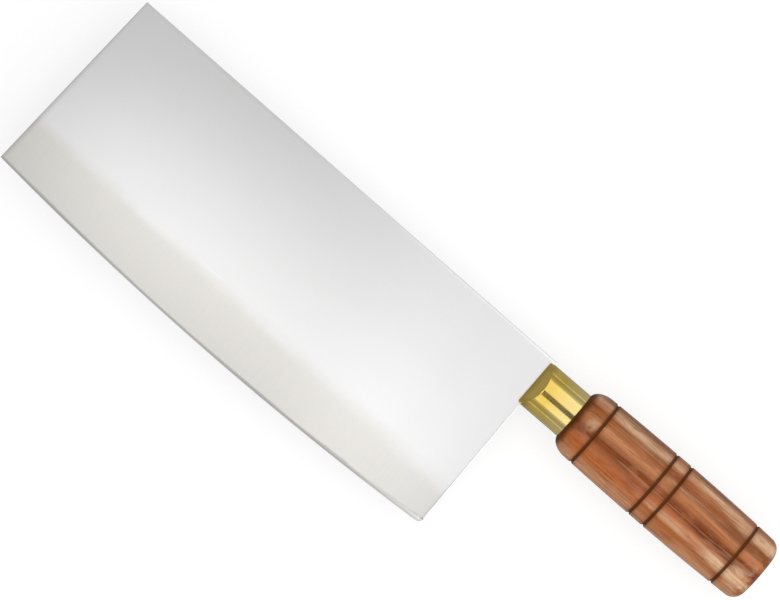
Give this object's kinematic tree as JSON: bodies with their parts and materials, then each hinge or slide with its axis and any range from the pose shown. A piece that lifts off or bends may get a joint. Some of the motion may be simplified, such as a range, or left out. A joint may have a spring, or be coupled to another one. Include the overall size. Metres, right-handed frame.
{
  "type": "chinese cleaver",
  "caption": "Rectangular thin-bladed cleaver with a ground cutting band, a round brass collar and a turned wooden handle with burnt grooves.",
  "frame": {"origin": "under the middle of the knife's outer box, on the plane that the thickest part of the handle touches", "axes": "+X along the handle's axis towards the butt, +Y towards the spine, +Z square out of the blade's upper face"},
  "size_m": [0.3102, 0.084, 0.0283],
  "materials": {
    "blade_steel": "satin ground stainless steel",
    "rod_steel": "plain steel, hammered at the head",
    "collar_brass": "polished brass",
    "handle_wood": "turned red-brown hardwood under clear varnish",
    "bedding_resin": "set resin"
  },
  "bodies": {
    "root": {"blade": "blade_steel", "tang_rod": "rod_steel", "ferrule": "collar_brass", "handle": "handle_wood", "butt_washer": "rod_steel", "tang_bedding": "bedding_resin"}
  },
  "joints": []
}
